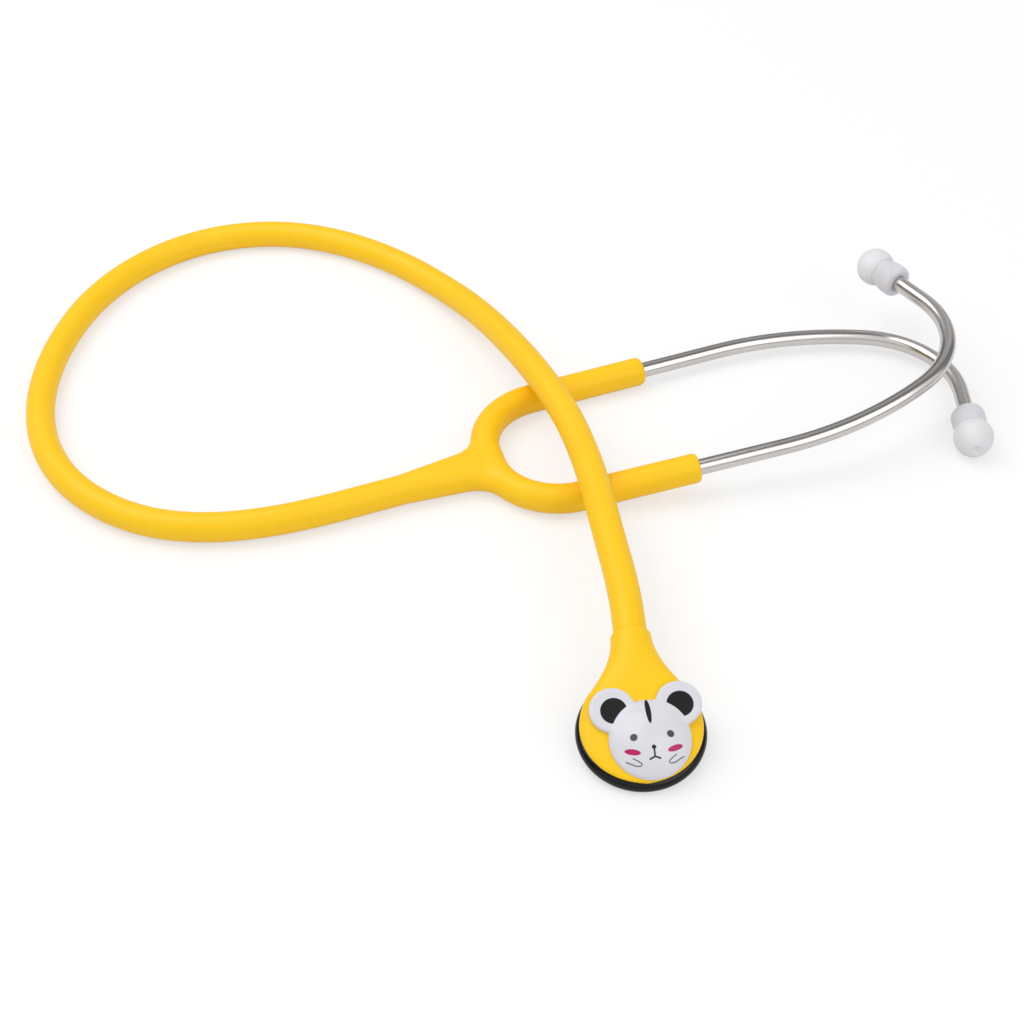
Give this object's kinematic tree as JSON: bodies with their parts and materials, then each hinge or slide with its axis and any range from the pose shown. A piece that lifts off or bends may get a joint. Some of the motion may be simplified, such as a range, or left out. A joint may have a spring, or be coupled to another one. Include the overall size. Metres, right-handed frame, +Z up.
{
  "type": "toy stethoscope",
  "caption": "Yellow toy stethoscope: soft hose, sprung metal ear tubes with soft tips, and a chest piece with an animal's face.",
  "frame": {"origin": "on the table, under the middle of the box round the headset and the chest piece, without the free hose", "axes": "+X along the headset from the hose's end towards the ear tips, +Y away from the chest piece, +Z up from the table"},
  "size_m": [0.3204, 0.3138, 0.0295],
  "materials": {
    "yellow_tubing": "satin soft vinyl",
    "yellow_cover": "satin soft vinyl",
    "bright_tube": "polished",
    "spring_steel": "rolled strip",
    "clip_metal": "turned",
    "cup_metal": "turned",
    "stem_metal": "turned",
    "black_rim": "glossy",
    "diaphragm_film": "satin",
    "white_badge": "glossy, printed",
    "collar_plastic": "moulded",
    "clear_silicone": "frosted, clear"
  },
  "bodies": {
    "root": {"main_tube": "yellow_tubing", "yoke": "yellow_tubing", "yoke_bend_left": "yellow_tubing", "yoke_bend_right": "yellow_tubing", "leaf_spring_inner": "spring_steel", "leaf_spring_outer": "spring_steel"},
    "chest_piece": {"chestpiece_cover": "yellow_cover", "chestpiece_cup": "cup_metal", "diaphragm": "diaphragm_film", "soft_rim": "black_rim", "hose_stem": "stem_metal", "animal_badge": "white_badge"},
    "arm_left": {"yoke_leg_left": "yellow_tubing", "spring_clip_left": "clip_metal", "ear_tube_left": "bright_tube", "tip_collar_left": "collar_plastic"},
    "arm_right": {"yoke_leg_right": "yellow_tubing", "spring_clip_right": "clip_metal", "ear_tube_right": "bright_tube", "tip_collar_right": "collar_plastic"},
    "tip_left": {"ear_tip_left": "clear_silicone"},
    "tip_right": {"ear_tip_right": "clear_silicone"}
  },
  "joints": [
    {"name": "chestpiece_turn", "type": "hinge", "parent": "root", "child": "chest_piece", "pos_m": [-0.05048, -0.04885, 0.0145], "axis": [0.2052, 0.9653, 0.1616], "continuous": true},
    {"name": "arm_spread_left", "type": "hinge", "parent": "root", "child": "arm_left", "pos_m": [-0.04568, 0.078, 0.00505], "axis": [0, 0, 1], "range_deg": [0, 35], "stiffness_Nm_per_rad": 0.65, "deforming": ["yoke_bend_left", "leaf_spring_inner", "leaf_spring_outer"]},
    {"name": "arm_spread_right", "type": "hinge", "parent": "root", "child": "arm_right", "pos_m": [-0.04568, 0.024, 0.00505], "axis": [0, 0, -1], "range_deg": [0, 35], "stiffness_Nm_per_rad": 0.65, "deforming": ["yoke_bend_right", "leaf_spring_inner", "leaf_spring_outer"]},
    {"name": "ear_tip_left_pull", "type": "slide", "parent": "arm_left", "child": "tip_left", "axis": [-0.284, -0.9586, 0.0203], "range_m": [0, 0.012]},
    {"name": "ear_tip_right_pull", "type": "slide", "parent": "arm_right", "child": "tip_right", "axis": [-0.2854, 0.9584, -0.0088], "range_m": [0, 0.012]}
  ]
}
